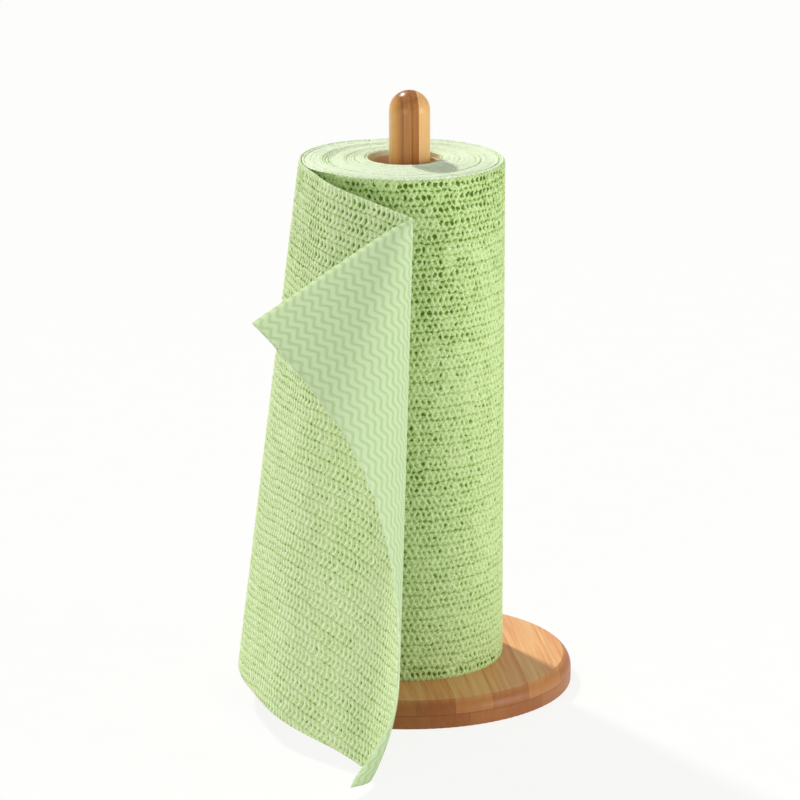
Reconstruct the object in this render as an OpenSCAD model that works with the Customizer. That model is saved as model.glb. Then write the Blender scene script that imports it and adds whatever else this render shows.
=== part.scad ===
// Roll of reusable cleaning cloth on a bamboo holder.
// The origin is the centre of the base's underside, on the post's axis, with +Z up.
// The free corner of the loose sheet hangs towards -Y.

/* [Holder] */
// Diameter of the round base
base_d = 180; // [160:1:220]
// Thickness of the base
base_t = 15.4; // [13:0.1:20]
// Radius of the base's round top edge
base_top_round = 8.4; // [4:0.2:9]
// Part of that radius that lies below the top face, which meets it at an angle
top_round_share = 0.87; // [0.7:0.01:1]
// Radius of the base's bottom edge
base_bottom_round = 1.5; // [0.5:0.5:3]
// Diameter of the post
post_d = 22.4; // [18:0.1:26]
// Height of the post's domed tip above the table
post_top = 333; // [310:1:360]
// Depth of the post's socket in the base
socket_depth = 6; // [4:0.5:8]
// Glue gap round the post in its socket
socket_gap = 0.1; // [0.05:0.05:0.3]

/* [Fixing screw] */
// Diameter of the screw's head
screw_head_d = 8; // [7:0.5:9]
// Diameter of the screw's shank
screw_d = 4; // [3.5:0.1:4.5]
// Diameter of the screw's tapered point
screw_tip_d = 1; // [0.6:0.1:2]
// Length of the screw with its head
screw_len = 32; // [25:1:40]
// Length of the tapered point
screw_tip_len = 4; // [2:0.5:6]
// Width of the cross recess in the head
recess_w = 1; // [0.8:0.1:1.4]
// Span of the cross recess in the head
recess_span = 4.4; // [3:0.1:5]
// Depth of the cross recess in the head
recess_depth = 1.6; // [1:0.1:2]
// Depth of the head below the base's underside
screw_sink = 1; // [0.5:0.1:2]
// Clearance round the screw in the base
screw_gap = 0.3; // [0.1:0.1:0.6]
// Gap between the screw and its pilot hole in the post
pilot_gap = 0.05; // [0.02:0.01:0.1]

/* [Roll] */
// Width of the cloth, which is the height of the roll
cloth_w = 280; // [250:1:290]
// Outer diameter of the roll
roll_d = 109.8; // [100:0.1:116]
// Offset of the roll's axis from the post's axis, along X
roll_shift = -2.9; // [-5:0.1:5]
// Inner diameter of the cardboard core
core_d = 36.8; // [34:0.1:42]
// Wall of the cardboard core
core_wall = 1.2; // [0.8:0.1:2]
// Depth of the core's rim below the top of the cloth
core_recess = 1.8; // [0.5:0.1:4]
// Gap between the core and the first turn
core_gap = 0.1; // [0.05:0.05:0.3]
// Distance from one turn of cloth to the next
turn_pitch = 1.4; // [1.2:0.1:2]
// Width of the groove between two turns on the roll's ends
turn_groove_w = 0.6; // [0.3:0.1:0.8]
// Depth of the groove between two turns
turn_groove_depth = 0.8; // [0.4:0.1:1.5]
// Number of knitted rows across the cloth
rows = 40; // [32:4:56]
// Depth of the furrow between two rows
row_depth = 0.5; // [0.2:0.1:0.7]
// Part of a row's width that each side of its furrow takes
row_slope_share = 0.25; // [0.1:0.05:0.4]

/* [Loose sheet] */
// Thickness of the cloth
sheet_t = 1.3; // [1:0.1:1.6]
// Direction, seen from the roll's axis, of the line where the sheet leaves the roll
leave_angle = 111; // [100:1:120]
// Angle at which the sheet leaves the roll's surface
peel_angle = 11; // [9:1:14]
// Lean of the sheet's first line from the vertical
sheet_lean = 3.5; // [2.5:0.5:4]
// Drop of the sheet's top edge below the roll's top where it leaves
sheet_drop = 0.2; // [0.1:0.1:0.3]
// Height, above the sheet's top edge, of the point that the sheet's flare spreads from
flare_h = 590; // [560:10:620]
// Flat angle of the flare
flare_spread = 14; // [13:0.5:14.5]
// Bend of the flare over each fifth of its spread, from the roll to the front
flare_turns = [40, 31, 24, 7, 30]; // [0:1:50]
// Arc by which the sheet's root starts inside the roll
root_angle = 12; // [8:1:16]
// Depth of the root below the roll's surface
root_depth = 2.5; // [2:0.1:4]

/* [Corner fold] */
// Length of top edge from the end of the flare to the fold
fold_run = 39; // [36:1:42]
// Length of top edge from the fold to the free corner
corner_len = 108; // [100:1:112]
// Height, above the sheet's top edge, of the point that the fold spreads from
fold_h = 9; // [8:1:12]
// Flat angle between the end of the flare and the start of the fold
fold_wedge = 1; // [1:0.5:2]
// Flat angle of the fold
fold_spread = 48; // [44:1:50]
// Bend of the fold
fold_turn = 140; // [130:1:146]
// Bend of the flap beyond the fold
flap_turn = 28; // [20:1:34]
// Length of bottom edge over which the lowest corner curls forwards
curl_u = 35; // [30:1:40]
// Length of free edge over which the lowest corner curls forwards
curl_v = 70; // [60:1:80]
// Bend of the lowest corner
curl_turn = 37; // [20:1:40]

/* [Hidden] */
$fn = 96;
bamboo_light = "#c98f52";
bamboo_dark = "#b97f45";
steel = "#b9bcc0";
kraft = "#c79a62";
cloth_green = "#b4d183";

base_r = base_d / 2;
post_r = post_d / 2;
socket_z = base_t - socket_depth;
screw_r = screw_d / 2;
screw_head_r = screw_head_d / 2;
screw_head_h = screw_head_r - screw_r;
screw_tip_z = screw_sink + screw_len;
cut_over = base_bottom_round;

core_r = core_d / 2;
core_out_r = core_r + core_wall;
bore_r = core_out_r + core_gap;
roll_r = roll_d / 2;
roll_z = base_t;
roll_top = roll_z + cloth_w;
turns = floor((roll_r - row_depth - bore_r) / turn_pitch) - 1;
row_pitch = cloth_w / rows;

// The sheet's outer face has a furrow and a crest for each row. Its reverse has a level for four rows.
levels_per_row = 2;
levels = rows * levels_per_row;
back_step = 8;
back_levels = levels / back_step;
level_pitch = cloth_w / levels;
// A level this close to the cloth's edge, as a share of the level pitch, becomes the edge itself.
edge_share = 0.3;
lines_per_fifth = 3;
fold_lines_low = 6;
fold_lines_high = 9;
flap_lines = 5;

// Where the flat sheet ends, and the flat angles of the fold, measured from the cloth's width.
flare_len = flare_h * tan(flare_spread);
fold_u = flare_len + fold_run;
free_u = fold_u + corner_len;
fold_low = atan2(cloth_w * tan(flare_spread) - fold_run, cloth_w + fold_h);
fold_start = fold_low + fold_wedge;
fold_end = fold_start + fold_spread;
low_corner = atan2(corner_len, cloth_w + fold_h);
top_corner = atan2(corner_len, fold_h);

// A vector turned about a unit axis.
function turned(v, axis, a) =
    v * cos(a) + cross(axis, v) * sin(a) + axis * (axis * v) * (1 - cos(a));

// A frame of line, travel and normal, carried over a flat angle while the cloth bends.
function carried(frame, bend, angle) =
    let (rate = norm([1, bend]), axis = (frame[2] + bend * frame[0]) / rate)
    [for (v = frame) turned(v, axis, rate * angle)];

// The first line of the sheet, peeled outwards and leaning.
function first_frame() =
    let (
        out = [cos(leave_angle), sin(leave_angle), 0],
        round = [-sin(leave_angle), cos(leave_angle), 0],
        down = [0, 0, -1],
        travel = round * cos(peel_angle) + out * sin(peel_angle),
        normal = out * cos(peel_angle) - round * sin(peel_angle)
    )
    [
        down * cos(sheet_lean) + travel * sin(sheet_lean),
        travel * cos(sheet_lean) - down * sin(sheet_lean),
        normal
    ];

fifth = flare_spread / len(flare_turns);
function flare_frame(i) =
    i == 0 ? first_frame() : carried(flare_frame(i - 1), -flare_turns[i - 1] / fifth, fifth);

leave_point = [
    roll_shift + roll_r * cos(leave_angle),
    roll_r * sin(leave_angle),
    roll_top - sheet_drop
];
flare_apex = leave_point - flare_h * first_frame()[0];

// The flat wedge in front of the flare gives the plane from which the corner folds.
last = flare_frame(len(flare_turns));
across = last[0] * sin(flare_spread) + last[1] * cos(flare_spread);
downwards = last[0] * cos(flare_spread) - last[1] * sin(flare_spread);
fold_apex = flare_apex + across * fold_u + downwards * (flare_h - fold_h);
fold_frame = [
    across * sin(fold_start) + downwards * cos(fold_start),
    across * cos(fold_start) - downwards * sin(fold_start),
    last[2]
];
fold_bend = fold_turn / fold_spread;
flap_frame = carried(fold_frame, fold_bend, fold_spread);
flap_bend = flap_turn / (top_corner - fold_end);

// A line of the sheet: apex, direction, normal, flat angle, apex height and distance to the free end.
function flare_line(i, x) =
    let (f = carried(flare_frame(i), -flare_turns[i] / fifth, x))
    [flare_apex, f[0], f[2], i * fifth + x, flare_h, free_u];
function fold_line(angle) =
    let (f = angle < fold_end
        ? carried(fold_frame, fold_bend, angle - fold_start)
        : carried(flap_frame, flap_bend, angle - fold_end))
    [fold_apex, f[0], f[2], angle, fold_h, corner_len];
function spaced(from, to, n, first) = [for (i = [first:n]) from + (to - from) * i / n];

fold_angles = concat(
    spaced(fold_start, low_corner, fold_lines_low, 0),
    spaced(low_corner, fold_end, fold_lines_high, 1),
    spaced(fold_end, top_corner, flap_lines, 1)
);
sheet_lines = concat(
    [
        for (i = [0:len(flare_turns) - 1])
        for (k = [0:lines_per_fifth - 1])
        flare_line(i, fifth * k / lines_per_fifth)
    ],
    [flare_line(len(flare_turns) - 1, fifth)],
    [for (a = fold_angles) fold_line(a)]
);

// Distance from the top edge at which a line leaves the cloth, and its last level.
function line_end(line) =
    line[3] <= 0 ? cloth_w : min(cloth_w, line[5] / tan(line[3]) - line[4]);
function last_level(line, pitch) = max(0, ceil(line_end(line) / pitch - edge_share));
function level_v(line, level, pitch) =
    level >= last_level(line, pitch) ? line_end(line) : level * pitch;
function on_line(line, v) = line[0] + line[1] * (v + line[4]) / cos(line[3]);
function furrow(line, level) =
    level > 0 && level < last_level(line, level_pitch) && level % levels_per_row == 0 ? row_depth : 0;

// A line whose top would stand above the roll's top is slid down level with it.
function slid(line, v) = on_line(line, v) - [0, 0, max(0, on_line(line, 0)[2] - roll_top)];

// The lowest corner curls about the line between these two points.
curl_low = on_line(fold_line(atan2(corner_len - curl_u, cloth_w + fold_h)), cloth_w);
curl_high = on_line(fold_line(atan2(corner_len, cloth_w - curl_v + fold_h)), cloth_w - curl_v);
curl_axis = (curl_low - curl_high) / norm(curl_low - curl_high);
function edge_gap(line, v) = line[5] - (v + line[4]) * tan(line[3]);
function curl_angle(line, v) =
    let (share = max(0, 1 - edge_gap(line, v) / curl_u - (cloth_w - v) / curl_v))
    curl_turn * (1 - cos(180 * share)) / 2;
function sheet_point(line, v, depth) =
    let (p = slid(line, v) - line[2] * depth)
    curl_low + turned(p - curl_low, curl_axis, curl_angle(line, v));

// The sheet's root, inside the roll.
function root_point(v, depth) =
    let (a = leave_angle - root_angle, r = roll_r - depth)
    [roll_shift + r * cos(a), r * sin(a), roll_top - sheet_drop - v * cos(sheet_lean)];

// A round corner of a profile, to be cut away.
module corner_cut(r, over) {
    difference() {
        square([r + over, r + over]);
        circle(r = r);
    }
}

// The screw's outline, grown by a gap, from its head up.
module screw_shape(gap, length, tip) {
    rotate_extrude()
    polygon([
        [0, screw_sink],
        [screw_head_r + gap, screw_sink],
        [screw_r + gap, screw_sink + screw_head_h],
        [screw_r + gap, screw_sink + length - tip],
        [tip > 0 ? screw_tip_d / 2 : screw_r + gap, screw_sink + length],
        [0, screw_sink + length]
    ]);
}

module base() {
    color(bamboo_dark)
    difference() {
        rotate_extrude()
        difference() {
            square([base_r, base_t]);
            translate([base_r - base_top_round, base_t - base_top_round * top_round_share])
            corner_cut(base_top_round, cut_over);
            translate([base_r - base_bottom_round, base_bottom_round])
            mirror([0, 1])
            corner_cut(base_bottom_round, cut_over);
        }
        translate([0, 0, socket_z])
        cylinder(r = post_r + socket_gap, h = socket_depth + cut_over);
        screw_shape(screw_gap, base_t, 0);
        translate([0, 0, -cut_over])
        cylinder(r = screw_head_r + screw_gap, h = cut_over + screw_sink);
    }
}

module post() {
    color(bamboo_light)
    difference() {
        rotate_extrude()
        union() {
            translate([0, socket_z])
            square([post_r, post_top - post_r - socket_z]);
            intersection() {
                translate([0, post_top - post_r])
                circle(r = post_r);
                translate([0, post_top - post_r])
                square(post_r);
            }
        }
        translate([0, 0, -cut_over])
        cylinder(r = screw_r + pilot_gap, h = screw_tip_z + 2 * cut_over);
    }
}

module fixing_screw() {
    color(steel)
    difference() {
        screw_shape(0, screw_len, screw_tip_len);
        for (a = [0, 90])
        rotate(a)
        translate([-recess_span / 2, -recess_w / 2, 0])
        cube([recess_span, recess_w, screw_sink + recess_depth]);
    }
}

module core_tube() {
    color(kraft)
    translate([roll_shift, 0, roll_z])
    difference() {
        cylinder(r = core_out_r, h = cloth_w - core_recess);
        translate([0, 0, -cut_over])
        cylinder(r = core_r, h = cloth_w + 2 * cut_over);
    }
}

// Half turns of the groove between the turns, about one centre.
module half_grooves(from_r, count) {
    rotate_extrude(angle = 180)
    for (k = [0:count - 1])
    translate([from_r + k * turn_pitch, cloth_w])
    polygon([
        [-turn_groove_w, turn_groove_depth],
        [0, -turn_groove_depth],
        [turn_groove_w, turn_groove_depth]
    ]);
}

// The spiral seen on the roll's end: half circles about two centres half a pitch apart.
module end_spiral() {
    half_grooves(bore_r + turn_pitch, turns);
    translate([turn_pitch / 2, 0, 0])
    rotate(180)
    half_grooves(bore_r + 3 * turn_pitch / 2, turns - 1);
}

module wound_turns() {
    translate([roll_shift, 0, roll_z])
    rotate(leave_angle - 180)
    difference() {
        rotate_extrude()
        polygon(concat(
            [[bore_r, cloth_w], [bore_r, 0]],
            [
                for (i = [0:rows - 1])
                for (p = [[0, row_depth], [row_slope_share, 0], [1 - row_slope_share, 0]])
                [roll_r - p[1], (i + p[0]) * row_pitch]
            ],
            [[roll_r - row_depth, cloth_w]]
        ));
        end_spiral();
        translate([0, 0, cloth_w])
        mirror([0, 0, 1])
        end_spiral();
    }
}

// The loose sheet: an outer face with knitted rows, a plain reverse and the cut edges between them.
module loose_sheet() {
    n = len(sheet_lines);
    front = concat(
        [for (j = [0:levels]) root_point(j * level_pitch, root_depth)],
        [
            for (line = sheet_lines)
            for (j = [0:levels])
            sheet_point(line, level_v(line, j, level_pitch), furrow(line, j))
        ]
    );
    back_pitch = level_pitch * back_step;
    back = concat(
        [for (j = [0:back_levels]) root_point(j * back_pitch, root_depth + sheet_t)],
        [
            for (line = sheet_lines)
            for (j = [0:back_levels])
            sheet_point(line, level_v(line, j, back_pitch), sheet_t)
        ]
    );
    front_last = concat([levels], [for (line = sheet_lines) last_level(line, level_pitch)]);
    back_last = concat([back_levels], [for (line = sheet_lines) last_level(line, back_pitch)]);
    function f(k, j) = k * (levels + 1) + min(j, front_last[k]);
    function b(k, j) = len(front) + k * (back_levels + 1) + min(j, back_last[k]);
    function real(faces) = [for (t = faces) if (t[0] != t[1] && t[1] != t[2] && t[2] != t[0]) t];
    front_faces = [
        for (k = [0:n - 1])
        for (j = [0:levels - 1])
        each [[f(k, j), f(k + 1, j), f(k + 1, j + 1)], [f(k, j), f(k + 1, j + 1), f(k, j + 1)]]
    ];
    back_faces = [
        for (k = [0:n - 1])
        for (j = [0:back_levels - 1])
        each [[b(k, j), b(k + 1, j + 1), b(k + 1, j)], [b(k, j), b(k, j + 1), b(k + 1, j + 1)]]
    ];
    edge_faces = [
        for (k = [0:n - 1])
        each [
            [f(k, 0), b(k, 0), b(k + 1, 0)],
            [f(k, 0), b(k + 1, 0), f(k + 1, 0)],
            [f(k, levels), f(k + 1, levels), b(k + 1, back_levels)],
            [f(k, levels), b(k + 1, back_levels), b(k, back_levels)]
        ]
    ];
    root_faces = [
        for (j = [0:back_levels - 1])
        each concat(
            [for (m = [j * back_step:(j + 1) * back_step - 1]) [b(0, j), f(0, m), f(0, m + 1)]],
            [[b(0, j), f(0, (j + 1) * back_step), b(0, j + 1)]]
        )
    ];
    polyhedron(concat(front, back), real(concat(front_faces, back_faces, edge_faces, root_faces)));
}

module cloth_roll() {
    color(cloth_green)
    union() {
        wound_turns();
        loose_sheet();
    }
}

base();
post();
fixing_screw();
core_tube();
cloth_roll();
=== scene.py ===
"""Looks of a roll of knitted cleaning cloth on a bamboo holder, in metres, in the CAD frame."""
import math

import bpy
import numpy as np
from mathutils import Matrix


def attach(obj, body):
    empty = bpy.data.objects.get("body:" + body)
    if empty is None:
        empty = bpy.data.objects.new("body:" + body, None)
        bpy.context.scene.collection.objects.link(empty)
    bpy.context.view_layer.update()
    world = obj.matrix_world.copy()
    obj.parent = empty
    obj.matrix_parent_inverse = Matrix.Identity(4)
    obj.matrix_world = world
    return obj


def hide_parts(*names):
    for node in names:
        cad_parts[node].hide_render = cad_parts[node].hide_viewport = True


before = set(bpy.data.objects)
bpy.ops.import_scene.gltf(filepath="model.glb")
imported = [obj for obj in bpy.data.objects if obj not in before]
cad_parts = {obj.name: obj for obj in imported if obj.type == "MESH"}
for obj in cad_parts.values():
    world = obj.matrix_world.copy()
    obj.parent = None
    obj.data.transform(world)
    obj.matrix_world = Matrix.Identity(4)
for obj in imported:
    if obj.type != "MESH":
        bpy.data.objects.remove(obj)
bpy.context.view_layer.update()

MM = 0.001

# Sizes repeated from the part's source.
BASE_T = 15.4 * MM
CLOTH_W = 280 * MM
ROLL_R = 54.9 * MM
ROLL_X = -2.9 * MM
BORE_R = 19.7 * MM
TURN = 1.4 * MM
ROWS = 40
SHEET_T = 1.3 * MM
LEAVE, PEEL, LEAN = np.radians((111.0, 11.0, 3.5))
SHEET_DROP = 0.2 * MM
FLARE_H = 590 * MM
FLARE_SPREAD = math.radians(14)
FLARE_TURNS = np.radians((40, 31, 24, 7, 30))
FOLD_RUN = 39 * MM
CORNER = 108 * MM
FOLD_H = 9 * MM
FOLD_WEDGE, FOLD_SPREAD, FOLD_TURN, FLAP_TURN = np.radians((1.0, 48.0, 140.0, 28.0))
CURL_U = 35 * MM
CURL_V = 70 * MM
CURL_TURN = math.radians(37)
POST_D = 22.4 * MM
ROLL_TOP = BASE_T + CLOTH_W

# Points along the sheet's top edge at which its height and its gap to the roll are taken.
SAMPLES = 60

# How the roll's last turn bulges out to the sheet's top edge: over what length of the edge, with what
# gap left, by how much at most, and the angles between which the bulge ends.
SLACK_RUN = 130 * MM
SLACK_GAP = 0.2 * MM
SLACK_MOST = 2.6 * MM
SLACK_END = (1.65, 2.1)

# The knit: stitches round the roll, and the length and height of one.
STITCHES = 104
STITCH = 2 * math.pi * ROLL_R / STITCHES
ROW = CLOTH_W / ROWS

# The yarn's soft edge and the bulge of a hook in stitches, the yarn's height in millimetres, the soft
# edge of a hole by its size, and the half width of a furrow in rows.
YARN_EDGE = (0.04, 0.22)
HOOK_BULGE = 0.5
YARN_H = 0.34
HOLE_EDGE = (0.4, 1.3)
FURROW_W = 0.1

# How the rows of the loose sheet sag about a middle line and spread, as pulled cloth does.
SAG_MIDDLE = 205 * MM
SAG_REACH = 70 * MM
SAG_TILT, SAG_BOW, SAG_TWIST = 0.12, 1.2, 31.0
SAG_SPREAD = 0.08
SAG_HIGH = 60 * MM
SAG_START = 120 * MM

# The base: the height of the line between its plies, the width and turn of its strips, and the golden
# ratio that spreads their tones.
PLY_Z = 7.8 * MM
STRIP_W = 21.5 * MM
STRIP_TURN = math.radians(-7.5)
GOLDEN = 0.618

# The rise of the core's spiral seam in one turn.
SEAM_RISE = 90 * MM

# The zigzag stripes of the reverse: half the distance between two, and the length and height of a wave.
STRIPE_HALF = 2.6 * MM
ZIGZAG_LENGTH = 9.2 * MM
ZIGZAG_H = 1.4 * MM

# The white that the camera sees, and the point that the lamps are turned to.
WHITE = (1, 1, 0.985, 1)
AIM = (0, -0.03, 0.16)


def smooth_step(x, low, high):
    """0 below low, 1 above high, and smooth between."""
    t = np.clip((x - low) / (high - low), 0, 1)
    return t * t * (3 - 2 * t)


def fading(x, reach):
    """1 at nothing, fading as a bell over the reach."""
    return np.exp(-(x / reach) ** 2)


def turned(v, axis, angle):
    """A vector turned about unit axes by angles, one for each row."""
    c, s = np.cos(angle)[:, None], np.sin(angle)[:, None]
    along = (axis * v).sum(1, keepdims=True)
    return v * c + np.cross(axis, v) * s + axis * along * (1 - c)


def carried(lines, bend, angle):
    """A frame of line, travel and normal, carried over flat angles while the cloth bends."""
    angle = np.atleast_1d(angle)
    rate = math.hypot(1, bend)
    axis = np.tile((lines[2] + bend * lines[0]) / rate, (len(angle), 1))
    return [turned(np.tile(v, (len(angle), 1)), axis, rate * angle) for v in lines]


def leave_axes():
    """The directions out of the roll and round it, where the sheet leaves."""
    c, s = math.cos(LEAVE), math.sin(LEAVE)
    return np.array((c, s, 0)), np.array((-s, c, 0))


def first_lines():
    """The line, travel and normal of the sheet where it leaves the roll."""
    out, round_ = leave_axes()
    down = np.array((0, 0, -1.0))
    travel = round_ * math.cos(PEEL) + out * math.sin(PEEL)
    normal = out * math.cos(PEEL) - round_ * math.sin(PEEL)
    line = down * math.cos(LEAN) + travel * math.sin(LEAN)
    return [line, travel * math.cos(LEAN) - down * math.sin(LEAN), normal]


def wound_radius(gone):
    """The outer radius of the roll's last turn, by the share of the turn that has gone by."""
    return ROLL_R - TURN * (1 - gone)


class Sheet:
    """The loose sheet: places of the flat cloth's points, u along the web and v down from its top edge."""

    def __init__(self):
        self.fifth = FLARE_SPREAD / len(FLARE_TURNS)
        self.flare = [first_lines()]
        for turn in FLARE_TURNS:
            lines = carried(self.flare[-1], -turn / self.fifth, self.fifth)
            self.flare.append([v[0] for v in lines])
        start = np.array((
            ROLL_X + ROLL_R * math.cos(LEAVE),
            ROLL_R * math.sin(LEAVE),
            ROLL_TOP - SHEET_DROP,
        ))
        self.apex = start - FLARE_H * self.flare[0][0]
        line, travel, self.normal = self.flare[-1]
        c, s = math.cos(FLARE_SPREAD), math.sin(FLARE_SPREAD)
        self.across = line * s + travel * c
        self.down = line * c - travel * s
        self.fold_u = FLARE_H * math.tan(FLARE_SPREAD) + FOLD_RUN
        self.length = self.fold_u + CORNER
        self.fold_apex = self.apex + self.across * self.fold_u + self.down * (FLARE_H - FOLD_H)
        low = math.atan2(CLOTH_W * math.tan(FLARE_SPREAD) - FOLD_RUN, CLOTH_W + FOLD_H)
        self.fold_start = low + FOLD_WEDGE
        self.fold_end = self.fold_start + FOLD_SPREAD
        c, s = math.cos(self.fold_start), math.sin(self.fold_start)
        self.fold = [self.across * s + self.down * c, self.across * c - self.down * s, self.normal]
        flap = carried(self.fold, FOLD_TURN / FOLD_SPREAD, FOLD_SPREAD)
        self.flap = [v[0] for v in flap]
        self.flap_bend = FLAP_TURN / (math.atan2(CORNER, FOLD_H) - self.fold_end)
        self.angles = np.linspace(0, FLARE_SPREAD, SAMPLES)
        tops = self.bent(FLARE_H * np.tan(self.angles), np.zeros(SAMPLES))[0][:, 2]
        self.rise = np.maximum(tops - ROLL_TOP, 0)
        ends = self.bent(
            np.array((self.length - CURL_U, self.length)), np.array((CLOTH_W, CLOTH_W - CURL_V)),
        )[0]
        self.curl_low = ends[0]
        self.curl_axis = (ends[0] - ends[1]) / np.linalg.norm(ends[0] - ends[1])

    def places(self, u, v):
        """Points and normals of the outer face, slid down to the roll's top and curled at the low corner."""
        points, normals = self.bent(u, v)
        points[:, 2] -= np.interp(np.arctan2(u, FLARE_H + v), self.angles, self.rise)
        share = np.clip(1 - (self.length - u) / CURL_U - (CLOTH_W - v) / CURL_V, 0, 1)
        angle = CURL_TURN * (1 - np.cos(math.pi * share)) / 2
        axes = np.tile(self.curl_axis, (len(u), 1))
        return self.curl_low + turned(points - self.curl_low, axes, angle), turned(normals, axes, angle)

    def slack(self, angle):
        """How far the roll's last turn bulges out to the sheet's top edge, by the angle after its start."""
        points, normals = self.places(np.linspace(0, SLACK_RUN, SAMPLES), np.zeros(SAMPLES))
        inner = points - SHEET_T * normals
        after = (np.arctan2(inner[:, 1], inner[:, 0] - ROLL_X) - LEAVE) % (2 * math.pi)
        gap = np.hypot(inner[:, 0] - ROLL_X, inner[:, 1]) - wound_radius(after / (2 * math.pi))
        fill = np.clip(gap - SLACK_GAP, 0, SLACK_MOST)
        return np.interp(angle, after, fill * (1 - smooth_step(after, *SLACK_END)))

    def rounding(self, u, v):
        """How far the two faces draw in beside the cut edges."""
        edge = np.minimum(np.minimum(v, CLOTH_W - v), self.length - u)
        return 0.25 * MM * fading(edge, 0.5 * MM)

    def bent(self, u, v):
        """Points and normals of the sheet as it bends without stretching."""
        flare = np.arctan2(u, FLARE_H + v)
        fold = np.arctan2(u - self.fold_u, FOLD_H + v)
        points = self.apex + np.outer(u, self.across) + np.outer(FLARE_H + v, self.down)
        normals = np.tile(self.normal, (len(u), 1))
        for i, turn in enumerate(FLARE_TURNS):
            low = -1 if i == 0 else i * self.fifth
            here = (flare >= low) & (flare < (i + 1) * self.fifth)
            bent = carried(self.flare[i], -turn / self.fifth, flare[here] - i * self.fifth)
            reach = (FLARE_H + v[here]) / np.cos(flare[here])
            points[here] = self.apex + bent[0] * reach[:, None]
            normals[here] = bent[2]
        bends = (
            (self.fold, FOLD_TURN / FOLD_SPREAD, self.fold_start, self.fold_end),
            (self.flap, self.flap_bend, self.fold_end, math.pi),
        )
        for lines, bend, low, high in bends:
            here = (fold >= low) & (fold < high) & (flare >= FLARE_SPREAD)
            bent = carried(lines, bend, fold[here] - low)
            reach = (FOLD_H + v[here]) / np.cos(fold[here])
            points[here] = self.fold_apex + bent[0] * reach[:, None]
            normals[here] = bent[2]
        return points, normals


def uneven(seed, x, y, step_x, step_y):
    """A smooth random field, of about unit size, with the given steps between its values."""
    rng = np.random.default_rng(seed)
    x, y = x / step_x, y / step_y
    i, j = np.floor(x).astype(int), np.floor(y).astype(int)
    table = rng.normal(0, 1, (int(STITCHES / step_x) + 4, int(ROWS / step_y) + 4))
    fx, fy = smooth_step(x - i, 0, 1), smooth_step(y - j, 0, 1)
    low = table[i, j] * (1 - fy) + table[i, j + 1] * fy
    high = table[i + 1, j] * (1 - fy) + table[i + 1, j + 1] * fy
    return low * (1 - fx) + high * fx


class Knit:
    """The knitted face: yarn in a net or in hooks, a row of holes and a furrow with slits in each row.

    A hole or a slit is half its width in stitches, half its height in rows, and its depth. Furrows cut
    into the yarn, the holes lie beside it, and a crease runs along the middle of each row.
    """

    def __init__(self, seed, net, hole, slit, furrow, crease):
        self.seed = seed
        self.net = net
        self.hole = hole
        self.slit = slit
        self.furrow = furrow
        self.crease = crease
        self.waver = 0.045 if net else 0.025
        self.cut = 0.4 if net else 0.9
        self.shift = 0.0 if net else 0.5

    def field(self, number, su, sv, step_x, step_y):
        """One of the knit's random fields."""
        return uneven((self.seed, number), su, sv, step_x, step_y)

    def yarn(self, stitch, row):
        """1 on the yarn and 0 beside it."""
        if self.net:
            lean = 0.25 - 0.25 * np.cos(2 * math.pi * row)
            ways = (stitch - lean, stitch + lean)
        else:
            ways = (stitch + 0.5 - HOOK_BULGE * np.sin(math.pi * (row % 1)),)
        off = np.min([np.abs(way - np.round(way)) for way in ways], 0)
        return 1 - smooth_step(off, *YARN_EDGE)

    def at(self, u, v, open_and_shade_share=1.0):
        """Height in metres, and the stitch, row and openness that the material's pattern reads."""
        su, sv = u / STITCH, v / ROW
        stitch = su + 0.12 * self.field(0, su, sv, 2.3, 0.9) + 0.08 * self.field(1, su, sv, 0.9, 0.4)
        row = sv + self.waver * (self.field(2, su, sv, 3.1, 1.0) + 1.2 * self.field(3, su, sv, 0.9, 0.5))
        row = np.clip(row, 0.2, ROWS - 0.2)
        size = 0.9 + 0.38 * self.field(4, su, sv, 1.0, 0.5) + 0.2 * self.field(5, su, sv, 9, 5)
        size = np.clip(size, 0.25, 1.5) * open_and_shade_share
        away = np.abs(row - np.round(row))
        beside = stitch + self.shift
        beside = np.abs(beside - np.round(beside))
        hole = np.hypot(beside / self.hole[0], (0.5 - away) / self.hole[1]) / size
        slit = np.hypot((0.5 - beside) / self.slit[0], away / self.slit[1]) / size ** 0.4
        furrow = fading(away, FURROW_W)
        height = YARN_H * self.yarn(stitch, row) * (1 - self.cut * furrow) - self.furrow * furrow
        height -= self.crease * fading(0.5 - away, FURROW_W)
        height -= self.hole[2] * (1 - smooth_step(hole, *HOLE_EDGE))
        height -= self.slit[2] * (1 - smooth_step(slit, *HOLE_EDGE))
        return height * MM, np.stack((stitch, row, size), 1)


def grid(a, b):
    """The two values at each point of a grid, down each column in turn."""
    return [x.ravel() for x in np.meshgrid(a, b, indexing="ij")]


def round_roll(radius, after, z):
    """Points about the roll's axis, by the angle after the line where the sheet leaves."""
    return np.stack((ROLL_X + radius * np.cos(after + LEAVE), radius * np.sin(after + LEAVE), z), 1)


def grid_faces(columns, rows, first=0, flip=False):
    """Quads of a grid whose points run down each column in turn."""
    k = first + np.arange(columns * rows).reshape(columns, rows)
    quads = np.stack((k[:-1, :-1], k[:-1, 1:], k[1:, 1:], k[1:, :-1]), -1).reshape(-1, 4)
    return quads[:, ::-1] if flip else quads


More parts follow.
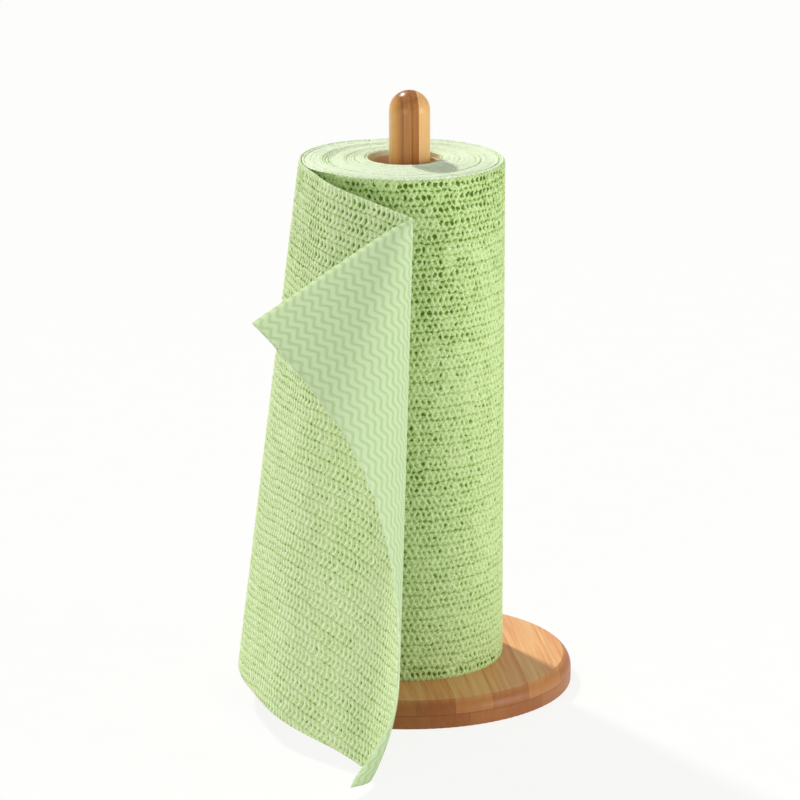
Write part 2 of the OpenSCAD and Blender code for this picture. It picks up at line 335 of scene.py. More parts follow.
def make_piece(name, points, faces, material, maps, slots=None, pit_shade=None, **vectors):
    """A smooth mesh piece that rides on the part, with its point values and its map."""
    mesh = bpy.data.meshes.new(name)
    mesh.from_pydata(np.asarray(points).tolist(), [], [list(map(int, f)) for f in faces])
    if pit_shade is not None:
        values = mesh.attributes.new("pit_shade", "FLOAT", "POINT")
        values.data.foreach_set("value", np.asarray(pit_shade, np.float32))
    for key, value in vectors.items():
        values = mesh.attributes.new(key, "FLOAT_VECTOR", "POINT")
        values.data.foreach_set("vector", np.asarray(value, np.float32).ravel())
    layer = mesh.uv_layers.new(name="OFBake")
    corners = np.zeros(len(mesh.loops), np.int32)
    mesh.loops.foreach_get("vertex_index", corners)
    layer.data.foreach_set("uv", np.asarray(maps, np.float32)[corners].ravel())
    for each in material if isinstance(material, list) else [material]:
        mesh.materials.append(each)
    if slots is not None:
        mesh.polygons.foreach_set("material_index", np.asarray(slots, np.int32))
    mesh.polygons.foreach_set("use_smooth", np.ones(len(mesh.polygons), bool))
    mesh.update()
    piece = bpy.data.objects.new(name, mesh)
    bpy.context.scene.collection.objects.link(piece)
    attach(piece, "root")
    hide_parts("cloth_roll")
    return piece


def add(tree, kind, inputs=None, **settings):
    """A node with its settings and inputs, where an input is a value or another node's socket."""
    made = tree.nodes.new(kind)
    for key, value in settings.items():
        setattr(made, key, value)
    for key, value in (inputs or {}).items():
        if isinstance(value, bpy.types.NodeSocket):
            tree.links.new(value, made.inputs[key])
        else:
            made.inputs[key].default_value = value
    return made


def maths(tree, operation, a, b=0.0):
    """The result of one operation on values or sockets."""
    return add(tree, "ShaderNodeMath", {0: a, 1: b}, operation=operation).outputs[0]


def centred(tree, value):
    """A noise from 0 to 1, moved to lie about 0."""
    return maths(tree, "SUBTRACT", value, 0.5)


def mixed(tree, fac, a, b):
    """A colour between a and b."""
    made = add(tree, "ShaderNodeMix", data_type="RGBA")
    for key, value in (("Factor_Float", fac), ("A_Color", a), ("B_Color", b)):
        socket = next(s for s in made.inputs if s.identifier == key)
        if isinstance(value, bpy.types.NodeSocket):
            tree.links.new(value, socket)
        else:
            socket.default_value = value
    return next(s for s in made.outputs if s.identifier == "Result_Color")


def ramp(tree, fac, stops):
    """A colour from stops of place and colour."""
    made = add(tree, "ShaderNodeValToRGB", {"Fac": fac})
    band = made.color_ramp
    while len(band.elements) < len(stops):
        band.elements.new(0.5)
    for element, (place, colour) in zip(band.elements, stops):
        element.position = place
        element.color = colour
    return made.outputs["Color"]


def srgb(r, g, b):
    """A colour as it is seen, in 0 to 255, as the shader takes it."""
    parts = [c / 255 for c in (r, g, b)]
    linear = [c / 12.92 if c <= 0.04045 else ((c + 0.055) / 1.055) ** 2.4 for c in parts]
    return (*linear, 1.0)


def new_material(name):
    """A material, its tree, its shader and the object's coordinates."""
    made = bpy.data.materials.new(name)
    made.use_nodes = True
    tree = made.node_tree
    shader = tree.nodes["Principled BSDF"]
    place = add(tree, "ShaderNodeTexCoord").outputs["Object"]
    return made, tree, shader, place


def noise(tree, place, scale, detail=2.0, rough=0.5):
    """A soft noise from 0 to 1."""
    made = add(
        tree, "ShaderNodeTexNoise",
        {"Vector": place, "Scale": scale, "Detail": detail, "Roughness": rough},
    )
    return made.outputs["Fac"]


def stretched(tree, place, scale, turn=0.0):
    """Coordinates scaled along the axes, and turned about the upright."""
    made = add(tree, "ShaderNodeMapping", {"Vector": place, "Scale": scale, "Rotation": (0, 0, turn)})
    return made.outputs["Vector"]


def bump(tree, shader, height, strength, distance):
    """Gives a shader fine relief."""
    made = add(tree, "ShaderNodeBump", {"Height": height, "Strength": strength, "Distance": distance})
    tree.links.new(made.outputs["Normal"], shader.inputs["Normal"])


def surfaced(tree, shader, colour, grain, rough, **settings):
    """Gives a shader its colour, a roughness that follows the grain, and its other values."""
    tree.links.new(colour, shader.inputs["Base Color"])
    made = add(tree, "ShaderNodeMapRange", {"Value": grain, "To Min": rough[0], "To Max": rough[1]})
    tree.links.new(made.outputs["Result"], shader.inputs["Roughness"])
    names = {"specular": "Specular IOR Level", "coat": "Coat Weight", "coat_rough": "Coat Roughness"}
    for key, value in settings.items():
        shader.inputs[names[key]].default_value = value


def faded(tree, value, full, none, way="SMOOTHSTEP"):
    """1 at full, 0 at none, and smooth or straight between."""
    made = add(
        tree, "ShaderNodeMapRange",
        {"Value": value, "From Min": full, "From Max": none, "To Min": 1.0, "To Max": 0.0},
        interpolation_type=way,
    )
    return made.outputs["Result"]


def total(tree, first, *parts):
    """A sum of a value and of products."""
    for value, factor in parts:
        first = maths(tree, "ADD", first, maths(tree, "MULTIPLY", value, factor))
    return first


def hole_shade(tree, across, down, size, wide, tall):
    """How deep a point lies in a hole, from its distances to the hole's middle."""
    x = maths(tree, "POWER", maths(tree, "DIVIDE", across, wide), 2.0)
    y = maths(tree, "POWER", maths(tree, "DIVIDE", down, tall), 2.0)
    far = maths(tree, "DIVIDE", maths(tree, "SQRT", maths(tree, "ADD", x, y)), size)
    return faded(tree, far, 0.45, 1.3)


def yarn_shade(tree, knit, stitch, row):
    """1 on the yarn, as in Knit.yarn."""
    if knit.net:
        turn = maths(tree, "COSINE", maths(tree, "MULTIPLY", row, 2 * math.pi))
        lean = total(tree, 0.25, (turn, -0.25))
        one = maths(tree, "PINGPONG", maths(tree, "SUBTRACT", stitch, lean), 0.5)
        other = maths(tree, "PINGPONG", maths(tree, "ADD", stitch, lean), 0.5)
        off = maths(tree, "MINIMUM", one, other)
    else:
        bend = maths(tree, "SINE", maths(tree, "MULTIPLY", maths(tree, "FRACT", row), math.pi))
        off = maths(tree, "PINGPONG", total(tree, maths(tree, "ADD", stitch, 0.5), (bend, -HOOK_BULGE)), 0.5)
    return faded(tree, off, *YARN_EDGE)


def knit_material(name, knit, stops, gain, furrow, fuzz_and_glint_speckle, stray, deep):
    """Knitted yarn: pale yarn, darker furrows and dark holes, and all of it darker where it is more open. The
    paler yarn is partly painted light. The dark holes, slits, furrows and creases, and the darkening where
    the knit is more open, are painted shade over the cloth's own green. The speckle is fibre fuzz with
    painted glints.
    """
    made, tree, shader, place = new_material(name)
    places = add(tree, "ShaderNodeAttribute", attribute_name="knit").outputs["Vector"]
    stitch, row, size = add(tree, "ShaderNodeSeparateXYZ", {"Vector": places}).outputs
    wander = add(tree, "ShaderNodeTexNoise", {"Vector": place, "Scale": 520.0, "Detail": 2.0})
    wander = add(tree, "ShaderNodeSeparateColor", {"Color": wander.outputs["Color"]}).outputs
    stitch = total(tree, stitch, (centred(tree, wander[0]), stray))
    row = total(tree, row, (centred(tree, wander[1]), 0.4 * stray))
    away = maths(tree, "PINGPONG", row, 0.5)
    beside = maths(tree, "PINGPONG", maths(tree, "ADD", stitch, knit.shift), 0.5)
    middle = maths(tree, "SUBTRACT", 0.5, away)
    between = maths(tree, "SUBTRACT", 0.5, beside)
    patch = noise(tree, place, 55.0, 2.0)
    tall = total(tree, 1.4 * knit.slit[1], (faded(tree, patch, 0.4, 0.6), -knit.slit[1]))
    hole = hole_shade(tree, beside, middle, size, *knit.hole[:2])
    slit = hole_shade(tree, between, away, maths(tree, "POWER", size, 0.4), knit.slit[0], tall)
    line = faded(tree, away, 0.03, 0.15)
    crease = faded(tree, middle, 0.03, 0.15)
    yarn = maths(tree, "MULTIPLY", yarn_shade(tree, knit, stitch, row), total(tree, 1.0, (line, -knit.cut)))
    fuzz = noise(tree, place, 1000.0, 3.0, 0.7)
    # Painted light and shade: the yarn is made lighter, and the holes, slits, furrows and creases darker as
    # painted shade in the recesses. The speckle term adds painted glints to the fibre fuzz, and the term on
    # size darkens more open knit as painted shade.
    value = total(
        tree, 0.44, (yarn, -gain), (hole, 0.6 * knit.hole[2]), (slit, 0.6 * knit.slit[2]),
        (line, furrow), (crease, knit.crease), (centred(tree, fuzz), fuzz_and_glint_speckle),
        (centred(tree, patch), 0.2), (maths(tree, "SUBTRACT", size, 0.75), deep),
    )
    surfaced(tree, shader, ramp(tree, value, stops), fuzz, (0.8, 0.98), specular=0.15)
    height = total(tree, maths(tree, "MULTIPLY", yarn, 0.6), (hole, -0.6), (fuzz, 1.2))
    bump(tree, shader, height, 0.6, 0.0005)
    return made


def reverse_material():
    """The smooth reverse, with soft printed zigzag stripes down the cloth's width."""
    made, tree, shader, place = new_material("cloth_reverse")
    flat = add(tree, "ShaderNodeAttribute", attribute_name="flat").outputs["Vector"]
    split = add(tree, "ShaderNodeSeparateXYZ", {"Vector": flat})
    wave = maths(tree, "SINE", maths(tree, "MULTIPLY", split.outputs["Y"], 2 * math.pi / ZIGZAG_LENGTH))
    soft = noise(tree, place, 250.0, 2.0)
    across = total(tree, split.outputs["X"], (wave, ZIGZAG_H), (soft, 0.8 * MM))
    line = faded(tree, maths(tree, "PINGPONG", across, STRIPE_HALF), 0.5 * MM, 1.7 * MM)
    fuzz = noise(tree, place, 1800.0, 3.0, 0.6)
    shade = maths(tree, "MULTIPLY", line, total(tree, 0.5, (soft, 0.6)))
    colour = mixed(tree, shade, srgb(206, 226, 182), srgb(182, 206, 150))
    colour = mixed(tree, maths(tree, "MULTIPLY", fuzz, 0.22), colour, srgb(160, 190, 124))
    surfaced(tree, shader, colour, fuzz, (0.85, 0.98), specular=0.15)
    bump(tree, shader, total(tree, maths(tree, "MULTIPLY", fuzz, 0.5), (line, -0.8)), 0.35, 0.0004)
    return made


def end_material():
    """The edges of the wound turns: pale felted cloth with darker green gaps, partly the cloth's own green
    and partly painted shade in the grooves between turns.
    """
    made, tree, shader, place = new_material("cloth_edges")
    pit_shade = add(tree, "ShaderNodeAttribute", attribute_name="pit_shade").outputs["Fac"]
    fuzz = noise(tree, place, 1100.0, 4.0, 0.65)
    cloud = noise(tree, place, 260.0, 2.0)
    value = total(tree, pit_shade, (centred(tree, fuzz), 1.1), (centred(tree, cloud), 0.45))
    stops = (
        (0.0, srgb(241, 252, 226)),
        (0.32, srgb(231, 246, 208)),
        (0.68, srgb(186, 214, 144)),
        (1.0, srgb(108, 142, 60)),
    )
    surfaced(tree, shader, ramp(tree, value, stops), fuzz, (0.85, 0.98), specular=0.15)
    bump(tree, shader, fuzz, 0.6, 0.0008)
    return made


def fibres(tree, place, fine, along):
    """Long bamboo fibres: a fine and a coarse grain, drawn out along one axis."""
    thin = noise(tree, stretched(tree, place, fine), 1.0, 3.0, 0.6)
    broad = noise(tree, stretched(tree, place, along), 1.0, 2.0, 0.5)
    return thin, broad


def strip_tone(tree, number, first):
    """A tone from 0 to 1 for each strip, which the golden ratio spreads evenly."""
    return maths(tree, "FRACT", total(tree, first, (number, GOLDEN)))


def seam(tree, share, width):
    """1 on the line between two strips, from the share across a strip."""
    edge = maths(tree, "MINIMUM", share, maths(tree, "SUBTRACT", 1.0, share))
    return faded(tree, edge, 0.0, width, "LINEAR")


def base_material():
    """Two plies of bamboo strips, with their ends on the rim, under satin lacquer. The strips' tones are set
    lighter to the right and darker in the middle, painted light and shade over their own tones.
    """
    made, tree, shader, place = new_material("bamboo_board")
    turned_place = stretched(tree, place, (1, 1, 1), STRIP_TURN)
    split = add(tree, "ShaderNodeSeparateXYZ", {"Vector": turned_place})
    upper = maths(tree, "GREATER_THAN", split.outputs["Z"], PLY_Z)
    strip = total(tree, maths(tree, "MULTIPLY", split.outputs["X"], 1 / STRIP_W), (upper, 0.37))
    share = maths(tree, "FRACT", strip)
    # The first tone is set so that the strips on the right, where the light falls, come out light and the
    # middle ones, in shade, dark: painted light and shade laid over the strips' own varying tones. The rim's
    # ends follow the same tones.
    tone = strip_tone(tree, maths(tree, "FLOOR", strip), total(tree, 0.12, (upper, -0.04)))
    thin, broad = fibres(tree, turned_place, (2100, 30, 700), (420, 7, 200))
    facing = add(tree, "ShaderNodeNewGeometry").outputs["Normal"]
    up = add(tree, "ShaderNodeSeparateXYZ", {"Vector": facing}).outputs["Z"]
    rim = maths(tree, "SUBTRACT", 1.0, maths(tree, "POWER", maths(tree, "ABSOLUTE", up), 6.0))
    value = total(tree, 0.22, (tone, 0.14), (broad, 0.5), (centred(tree, thin), 0.7))
    stops = (
        (0.1, srgb(188, 100, 58)),
        (0.4, srgb(218, 136, 84)),
        (0.65, srgb(233, 178, 122)),
        (0.95, srgb(244, 206, 152)),
    )
    colour = ramp(tree, value, stops)
    end_tone = total(tree, 0.16, (tone, 0.34), (maths(tree, "MULTIPLY", tone, upper), 0.35))
    stops = (
        (0.0, srgb(130, 62, 14)),
        (0.5, srgb(166, 97, 34)),
        (1.0, srgb(202, 134, 62)),
    )
    ends = ramp(tree, end_tone, stops)
    ends = mixed(tree, maths(tree, "MULTIPLY", thin, 0.5), ends, srgb(108, 56, 22))
    colour = mixed(tree, maths(tree, "MULTIPLY", rim, 0.85), colour, ends)
    glue = maths(tree, "ABSOLUTE", maths(tree, "SUBTRACT", split.outputs["Z"], PLY_Z))
    glue = maths(tree, "MULTIPLY", maths(tree, "LESS_THAN", glue, 0.22 * MM), rim)
    dark = maths(tree, "MAXIMUM", maths(tree, "MULTIPLY", seam(tree, share, 0.016), 0.45), glue)
    colour = mixed(tree, maths(tree, "MULTIPLY", dark, 0.6), colour, srgb(96, 54, 24))
    surfaced(tree, shader, colour, thin, (0.36, 0.56), specular=0.3, coat=0.1, coat_rough=0.3)
    bump(tree, shader, maths(tree, "SUBTRACT", thin, dark), 0.2, 0.0003)
    return made


def post_material():
    """A turned dowel of bamboo strips standing side by side, under glossier lacquer. Seen from the front, the
    strips are lighter at the left and right edges and darker in the middle: partly their own tones, partly
    painted light on the sides and painted shade on the front.
    """
    made, tree, shader, place = new_material("bamboo_dowel")
    split = add(tree, "ShaderNodeSeparateXYZ", {"Vector": place})
    sway = noise(tree, stretched(tree, place, (0, 0, 9)), 1.0)
    across = total(tree, 0.0, (split.outputs["X"], 1 / POST_D), (split.outputs["Y"], 0.2 / POST_D))
    across = total(tree, across, (centred(tree, sway), 0.05))
    # Stops from left to right across the dowel: the light left and right ends are partly painted light where
    # the lamps fall on its sides, and the dark middle is partly painted shade on its front.
    stops = (
        (0.0, srgb(236, 186, 118)),
        (0.12, srgb(210, 144, 68)),
        (0.255, srgb(130, 66, 14)),
        (0.27, srgb(172, 108, 42)),
        (0.43, srgb(166, 102, 38)),
        (0.45, srgb(126, 64, 14)),
        (0.5, srgb(162, 92, 26)),
        (0.63, srgb(158, 88, 24)),
        (0.64, srgb(236, 184, 114)),
    )
    strips = ramp(tree, maths(tree, "ADD", across, 0.5), stops)
    thin, broad = fibres(tree, place, (1700, 1700, 18), (420, 420, 6))
    streak = total(tree, 0.5, (centred(tree, broad), 0.9), (centred(tree, thin), 0.9))
    lighter = mixed(tree, 0.22, strips, srgb(238, 198, 146))
    darker = mixed(tree, 0.3, strips, srgb(104, 58, 22))
    colour = mixed(tree, streak, darker, lighter)
    surfaced(tree, shader, colour, thin, (0.2, 0.36), specular=0.18, coat=0.12, coat_rough=0.28)
    bump(tree, shader, thin, 0.15, 0.0002)
    return made


def core_material():
    """Spiral-wound kraft board: fibres, flecks and a slanting seam."""
    made, tree, shader, place = new_material("kraft_board")
    shifted = add(tree, "ShaderNodeMapping", {"Vector": place, "Location": (-ROLL_X, 0, 0)}).outputs["Vector"]
    split = add(tree, "ShaderNodeSeparateXYZ", {"Vector": shifted})
    angle = maths(tree, "ARCTAN2", split.outputs["Y"], split.outputs["X"])
    wound = total(tree, 0.0, (split.outputs["Z"], 1 / SEAM_RISE), (angle, 0.5 / math.pi))
    line = seam(tree, maths(tree, "FRACT", wound), 0.012)
    flecks = noise(tree, stretched(tree, place, (500, 500, 1300)), 1.0, 4.0, 0.7)
    cloud = noise(tree, place, 90.0, 2.0)
    value = total(tree, 0.0, (flecks, 0.7), (cloud, 0.3))
    stops = ((0.3, srgb(214, 184, 140)), (0.5, srgb(232, 206, 166)), (0.72, srgb(242, 222, 188)))
    colour = mixed(tree, maths(tree, "MULTIPLY", line, 0.7), ramp(tree, value, stops), srgb(130, 94, 56))
    surfaced(tree, shader, colour, flecks, (0.7, 0.92))
    bump(tree, shader, maths(tree, "SUBTRACT", flecks, line), 0.3, 0.0003)
    return made


def steel_material():
    """Zinc-plated steel with fine turning marks and a dull bloom."""
    made, tree, shader, place = new_material("zinc_steel")
    marks = noise(tree, stretched(tree, place, (300, 300, 4000)), 1.0, 3.0)
    bloom = noise(tree, place, 700.0, 2.0)
    value = total(tree, 0.0, (marks, 0.4), (bloom, 0.6))
    colour = ramp(tree, value, ((0.3, srgb(170, 172, 176)), (0.7, srgb(212, 212, 210))))
    surfaced(tree, shader, colour, bloom, (0.25, 0.5))
    shader.inputs["Metallic"].default_value = 1.0
    bump(tree, shader, marks, 0.2, 0.0001)
    return made


def dress(node, material):
    """Gives a CAD node its material."""
    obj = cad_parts[node]
    obj.data.materials.clear()
    obj.data.materials.append(material)


def openness(after):
    """How open the wound knit is, by the angle after the sheet's start: most open beside the fold. There the
    more open knit is deeper and darker, which is painted shade from the fold.
    """
    fold = math.radians(174)
    return 0.62 + 0.5 * fading(after - fold, 0.75) + 0.06 * np.cos(3 * after)


def tautness(v):
    """How open the loose knit is, most at its top edge."""
    return 0.35 + 0.8 * fading(v, 95 * MM)


def make_wall(name, first, last, knit, material, sheet):
    """A part of the roll's wall, between two stitches counted from where the sheet leaves."""
    per_stitch, per_row = 4, 8
    top_reach, hem_reach, bulge_reach = 70 * MM, 15 * MM, 22 * MM
    tuck, loop, drop = 0.9 * MM, 0.25 * MM, 0.4 * MM
    su = np.linspace(first, last, (last - first) * per_stitch + 1)
    sv = np.linspace(0, ROWS, ROWS * per_row + 1)
    gone, down = grid(su, sv)
    after = gone / STITCHES * 2 * math.pi
    # Painted shade: the knit opens and darkens towards the top and beside the fold, and grows lighter towards
    # the bottom. At the hem it opens and darkens again, partly as real hem holes and partly as painted shade
    # where the wall meets the base.
    upper = fading(down * ROW, top_reach)
    hem_and_contact_shade = fading((ROWS - down) * ROW, hem_reach)
    open_and_shade_share = np.maximum(openness(after) * (1 - 0.45 * down / ROWS), 1.25 * upper + 1.05 * hem_and_contact_shade)
    height, stitches = knit.at(gone * STITCH, down * ROW, open_and_shade_share)
    edge = fading(np.minimum(down, ROWS - down), 0.11)
    loops = loop * edge * np.cos(2 * math.pi * stitches[:, 0])
    radius = wound_radius(gone / STITCHES) + height - tuck * edge
    radius += np.maximum(sheet.slack(after) - 0.5 * MM, 0) * fading(down * ROW, bulge_reach)
    z = ROLL_TOP - down * ROW + np.where(down < ROWS / 2, loops - drop * edge, 0)
    points = round_roll(radius, after, z)
    faces = grid_faces(len(su), len(sv))
    maps = np.stack(((gone - first) / (last - first), 1 - down / ROWS), 1)
    return make_piece(name, points, faces, material, maps, knit=stitches)


def make_end(name, level, up, material, columns, per_turn, sheet=None):
    """One end of the roll: the edges of the turns, in a spiral, uneven and with gaps."""
    seed = 5 if up else 6
    per_metre = 8.5
    turns = (ROLL_R - BORE_R) / TURN
    angles = np.linspace(0, 2 * math.pi, columns + 1)
    steps = np.linspace(0, 1, int(turns * per_turn) + 1)
    a, s = grid(angles, steps)
    gone = a / (2 * math.pi)
    outer = wound_radius(gone) - 0.5 * MM
    radius = BORE_R + (outer - BORE_R) * s
    turn = (radius - BORE_R) / TURN - gone + 1
    turn = turn + 0.1 * uneven((seed, 0), 20 * np.round(turn) % STITCHES, 36 * gone, 1, 1)
    along = 2 * (np.round(turn) + gone)
    gap = smooth_step(uneven((seed, 1), along, 0 * along, 1, 1), -0.1, 1.1)
    groove = (0.5 + 0.5 * np.cos(2 * math.pi * turn)) ** (3 - 1.8 * gap)
    last = fading(outer - radius - 0.9 * TURN, 0.5 * MM)
    gap = np.maximum(0.25 + 0.75 * gap, 0.85 * last)
    level_of_turn = 0.2 * uneven((seed, 2), np.maximum(turn + gone, 0), 0 * turn, 1, 1)
    lumps = 0.12 * np.random.default_rng(seed).normal(0, 1, len(a))
    bulge = sheet.slack(a) if sheet else 0 * a
    pushed = smooth_step(bulge, 0, 0.5 * MM)
    rim = 1.1 * fading(outer - radius, 0.25 * MM) * (1 - 0.8 * pushed)
    rim += 0.8 * fading(radius - BORE_R, 0.5 * MM)
    height = level_of_turn + lumps - 0.6 * gap * groove - rim + 1.1 * (1 - s) ** 2 - 0.1
    radius = radius + (bulge + 0.6 * MM * pushed) * s ** 6
    z = level + height * MM if up else level - np.minimum(height, -0.1) * MM
    points = round_roll(radius, a, z)
    # The gaps between turns are darker: partly the cloth's own green, partly painted shade in the grooves.
    pit_shade = np.clip(0.06 + 0.8 * gap * groove, 0, 1)
    faces = grid_faces(len(angles), len(steps), flip=not up)
    maps = np.stack((0.5 + per_metre * (points[:, 0] - ROLL_X), 0.5 + per_metre * points[:, 1]), 1)
    return make_piece(name, points, faces, material, maps, pit_shade=pit_shade)


def make_bore(material):
    """The inside of the roll, round the core, seen only at the rim."""
    rng = np.random.default_rng(9)
    angles = np.linspace(0, 2 * math.pi, 121)
    levels = np.concatenate((np.linspace(0, 0.03, 12), np.linspace(0.04, 0.96, 24), np.linspace(0.97, 1, 12)))
    a, s = grid(angles, levels)
    wave = 0.04 * MM * rng.normal(0, 1, len(angles))
    wave[-1] = wave[0]
    radius = BORE_R + 0.06 * MM + np.repeat(np.abs(wave), len(levels))
    points = round_roll(radius, a, BASE_T + 0.6 * MM + s * CLOTH_W)
    faces = grid_faces(len(angles), len(levels))
    pit_shade = np.full(len(points), 0.05)
    maps = np.stack((a / (2 * math.pi), s), 1)
    return make_piece("roll_bore", points, faces, material, maps, pit_shade=pit_shade)


def rim_faces(outer, inner, ratio, flip):
    """Faces that close the edge between a fine and a coarse row of points."""
    made = []
    half = (ratio + 1) // 2
    for k in range(len(inner) - 1):
        fine = outer[k * ratio:(k + 1) * ratio + 1]
        for m in range(half):
            made.append((fine[m], fine[m + 1], inner[k]))
        made.append((fine[half], inner[k + 1], inner[k]))
        for m in range(half, ratio):
            made.append((fine[m], fine[m + 1], inner[k + 1]))
    return [f[::-1] for f in made] if flip else made


def unsagged(u, v):
    """Where a point of the loose sheet lies across the web before its rows sag, none of them at its start."""
    off = u - SAG_MIDDLE
    off = np.where(off < 0, SAG_REACH * np.tanh(off / SAG_REACH), off)
    sag = SAG_TILT * off + SAG_BOW * off ** 2 - SAG_TWIST * off ** 3
    drop = sag * smooth_step(v, SAG_HIGH, 3 * SAG_HIGH) + SAG_SPREAD * np.maximum(v - SAG_HIGH, 0)
    return v - drop * smooth_step(u, 0, SAG_START)


def make_sheet(shape, knit, materials):
    """The loose sheet: a knitted face, a smooth reverse and the cut edges between them."""
    per_stitch, per_row, coarse = 4, 6, 3
    stitches = round(shape.length / STITCH)
    columns, rows = stitches * per_stitch, ROWS * per_row
    columns -= columns % coarse
    u = np.linspace(0, shape.length, columns + 1)
    v = np.linspace(0, CLOTH_W, rows + 1)
    uu, vv = grid(u, v)
    front, normal = shape.places(uu, vv)
    height, knots = knit.at(uu, unsagged(uu, vv), tautness(vv))
    front = front + normal * (height - shape.rounding(uu, vv))[:, None]
    bu, bv = grid(u[::coarse], v[::coarse])
    back, normal = shape.places(bu, bv)
    back = back - normal * (SHEET_T - shape.rounding(bu, bv))[:, None]
    f = np.arange(len(front)).reshape(columns + 1, rows + 1)
    b = len(front) + np.arange(len(back)).reshape(columns // coarse + 1, rows // coarse + 1)
    faces = grid_faces(columns + 1, rows + 1).tolist()
    slots = [0] * len(faces)
    behind = grid_faces(columns // coarse + 1, rows // coarse + 1, len(front), flip=True).tolist()
    rims = rim_faces(f[:, 0], b[:, 0], coarse, False) + rim_faces(f[:, -1], b[:, -1], coarse, True)
    rims += rim_faces(f[0], b[0], coarse, True) + rim_faces(f[-1], b[-1], coarse, False)
    slots += [1] * len(behind) + [2] * len(rims)
    flat = np.zeros((len(front) + len(back), 3))
    flat[:, 0] = np.concatenate((uu, bu))
    flat[:, 1] = np.concatenate((vv, bv))
    # The face takes the upper part of the map, and the reverse the lower part.
    maps = np.stack((flat[:, 0] / shape.length * 0.98 + 0.01, 0.99 - flat[:, 1] / CLOTH_W * 0.6), 1)
    maps[len(front):, 1] = 0.36 - bv / CLOTH_W * 0.35
    piece = make_piece(
        "loose_sheet", np.concatenate((front, back)), faces + behind + rims, materials, maps, slots,
        pit_shade=np.full(len(flat), 0.45), flat=flat, knit=np.concatenate((knots, np.zeros((len(back), 3)))),
    )
    return piece


def make_peel(shape, knit, material):
    """The strip of web between the roll's last turn and the leaning first line of the loose sheet."""
    columns, per_row = 25, 6
    t = np.linspace(0, 1, columns)
    v = np.linspace(0, CLOTH_W, ROWS * per_row + 1)
    tt, vv = grid(t, v)
    end, end_normal = shape.places(0 * vv, vv)
    out, round_ = leave_axes()
    start = np.array((ROLL_X, 0, ROLL_TOP)) + ROLL_R * out - np.outer(vv, (0, 0, 1))
    wide = np.linalg.norm(end - start, axis=1)
    s = tt[:, None]
    ease = s * s * (3 - 2 * s)
    leave = np.outer(wide, round_) * s * (1 - s) ** 2
    arrive = np.outer(wide, shape.flare[0][1]) * s * s * (1 - s)
    normal = out * (1 - ease) + end_normal * ease
    height, knots = knit.at(STITCH * STITCHES - wide * (1 - tt), vv, tautness(vv))
    points = start + (end - start) * ease + leave - arrive + normal * height[:, None]
    maps = np.stack((tt, 1 - vv / CLOTH_W), 1)
    return make_piece("peel_strip", points, grid_faces(len(t), len(v)), material, maps, knit=knots)


def make_camera():
    """The photograph's view: from the front, a little from above, from far away."""
    data = bpy.data.cameras.new("view")
    data.sensor_width = 36
    data.lens = 201.27
    data.clip_start, data.clip_end = 0.1, 50
    camera = bpy.data.objects.new("view", data)
    camera.location = (-0.00516, -2.3712, 0.7972)
    camera.rotation_euler = (math.radians(74.96), 0, 0)
    bpy.context.scene.collection.objects.link(camera)
    bpy.context.scene.camera = camera


def floor_material():
    """A pale floor that looks white to the camera and keeps a soft shadow."""
    made, tree, shader, place = new_material("floor_paper")
    grain = noise(tree, place, 40.0, 3.0)
    tone = ramp(tree, grain, ((0.3, (0.80, 0.80, 0.79, 1)), (0.7, (0.84, 0.84, 0.83, 1))))
    tree.links.new(tone, shader.inputs["Base Color"])
    shader.inputs["Roughness"].default_value = 0.9
    shader.inputs["Specular IOR Level"].default_value = 0.0
    path = add(tree, "ShaderNodeLightPath").outputs
    seen = maths(tree, "MAXIMUM", path["Is Camera Ray"], path["Is Glossy Ray"])
    seen = maths(tree, "MAXIMUM", seen, path["Is Transmission Ray"])
    white = add(tree, "ShaderNodeEmission", {"Color": WHITE, "Strength": 1.0})
    fac = maths(tree, "MULTIPLY", seen, 0.87)
    both = add(tree, "ShaderNodeMixShader", {"Fac": fac, 1: shader.outputs[0], 2: white.outputs[0]})
    tree.links.new(both.outputs[0], tree.nodes["Material Output"].inputs["Surface"])
    return made


def make_floor():
    """A wide floor under the part."""
    size = 6.0
    mesh = bpy.data.meshes.new("floor")
    corners = [(-size, -size, 0), (size, -size, 0), (size, size, 0), (-size, size, 0)]
    mesh.from_pydata(corners, [], [(0, 1, 2, 3)])
    mesh.materials.append(floor_material())
    floor = bpy.data.objects.new("floor", mesh)
    bpy.context.scene.collection.objects.link(floor)


def make_world():
    """Soft light from all round, white where the camera sees it."""
    world = bpy.data.worlds.new("studio")
    world.use_nodes = True
    tree = world.node_tree
    path = add(tree, "ShaderNodeLightPath").outputs
    seen = maths(tree, "MAXIMUM", path["Is Camera Ray"], path["Is Transmission Ray"])
    soft = tree.nodes["Background"]
    soft.inputs["Color"].default_value = (0.97, 0.985, 1, 1)
    soft.inputs["Strength"].default_value = 0.4
    white = add(tree, "ShaderNodeBackground", {"Color": WHITE, "Strength": 1.0})
    both = add(tree, "ShaderNodeMixShader", {"Fac": seen, 1: soft.outputs[0], 2: white.outputs[0]})
    tree.links.new(both.outputs[0], tree.nodes["World Output"].inputs["Surface"])
    bpy.context.scene.world = world


def aimed(obj, target):
    """Turns a lamp towards a point."""
    way = np.array(target) - np.array(obj.location)
    obj.rotation_euler = (
        math.atan2(math.hypot(way[0], way[1]), -way[2]), 0, math.atan2(way[0], -way[1]) + math.pi,
    )


def make_lamp(name, kind, place, power, size, colour=(1, 1, 1)):
    """A lamp turned to the part: a sun of an angular size, or a disc of a width."""
    data = bpy.data.lights.new(name, kind)
    data.energy = power
    data.color = colour
    if kind == "SUN":
        data.angle = size
    else:
        data.shape = "DISK"
        data.size = size
    lamp = bpy.data.objects.new(name, data)
    lamp.location = place
    aimed(lamp, AIM)
    bpy.context.scene.collection.objects.link(lamp)


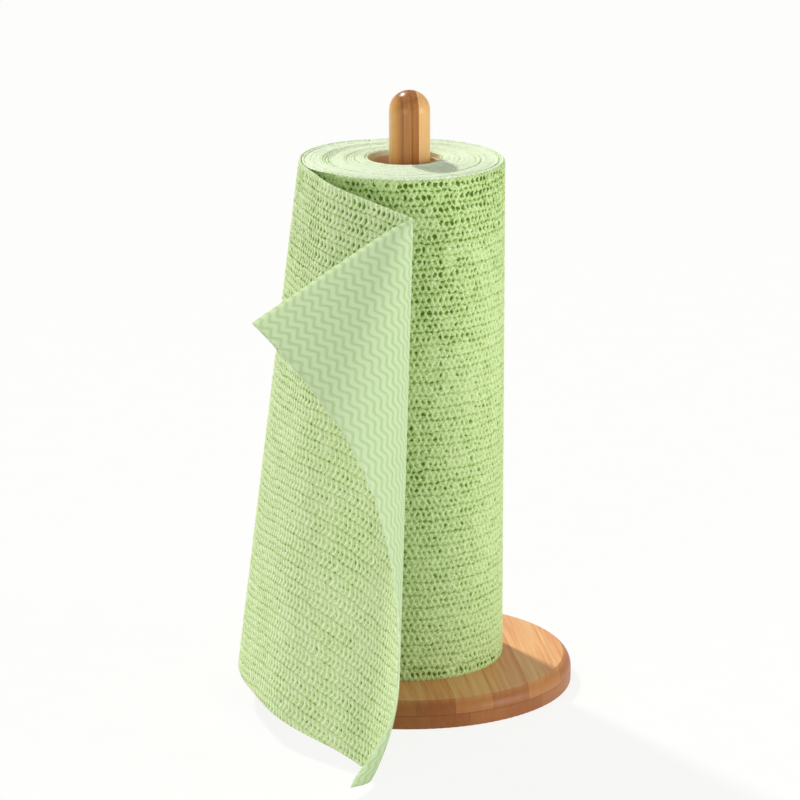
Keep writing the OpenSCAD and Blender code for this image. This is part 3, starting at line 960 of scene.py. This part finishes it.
def make_lights():
    """A sunny key from behind on the left, and soft fills from the front left and the right."""
    make_lamp("key", "SUN", (-1.1, 1.75, 2.3), 2.75, math.radians(4), (1, 0.985, 0.95))
    make_lamp("left_fill", "AREA", (-1.15, -2.55, 0.5), 26, 1.6)
    make_lamp("right_fill", "AREA", (2.2, -0.85, 0.4), 33, 1.4)


def wound_cloth():
    """The knit of the wound turns, and its material."""
    hole, slit = (0.25, 0.135, 0.75), (0.24, 0.08, 0.55)
    knit = Knit(seed=1, net=True, hole=hole, slit=slit, furrow=0.22, crease=0.0)
    # The darkest stops are what the holes, slits and furrows ramp to: painted shade in the recesses.
    stops = (
        (0.0, srgb(216, 234, 178)),
        (0.4, srgb(188, 213, 140)),
        (0.7, srgb(146, 177, 92)),
        (1.0, srgb(84, 114, 40)),
    )
    looks = {"gain": 0.34, "furrow": 0.14, "fuzz_and_glint_speckle": 1.8, "stray": 0.8, "deep": 0.2}
    return knit, knit_material("knit_wound", knit, stops, **looks)


def loose_cloth():
    """The knit of the loose sheet, and its material."""
    hole, slit = (0.22, 0.24, 0.95), (0.25, 0.1, 0.7)
    knit = Knit(seed=2, net=False, hole=hole, slit=slit, furrow=0.2, crease=0.12)
    # The darkest stops are what the holes, slits and furrows ramp to: painted shade in the recesses.
    stops = (
        (0.0, srgb(235, 247, 206)),
        (0.4, srgb(203, 223, 163)),
        (0.7, srgb(164, 194, 112)),
        (1.0, srgb(102, 134, 52)),
    )
    looks = {"gain": 0.5, "furrow": 0.08, "fuzz_and_glint_speckle": 1.3, "stray": 0.3, "deep": 0.06}
    return knit, knit_material("knit_loose", knit, stops, **looks)


def main():
    """Builds the stage, dresses the CAD nodes and makes the cloth's pieces."""
    bpy.context.scene.view_settings.view_transform = "Standard"
    make_camera()
    make_world()
    make_lights()
    make_floor()
    dress("base", base_material())
    dress("post", post_material())
    dress("core_tube", core_material())
    dress("fixing_screw", steel_material())
    wound, wall = wound_cloth()
    loose, face = loose_cloth()
    ends = end_material()
    sheet = Sheet()
    half = STITCHES // 2
    make_wall("wound_cloth_left", 0, half, wound, wall, sheet)
    make_wall("wound_cloth_right", half, STITCHES, wound, wall, sheet)
    make_end("roll_top", ROLL_TOP, True, ends, 360, 6, sheet)
    make_end("roll_bottom", BASE_T, False, ends, 120, 3)
    make_bore(ends)
    make_peel(sheet, loose, face)
    make_sheet(sheet, loose, [face, reverse_material(), ends])


main()
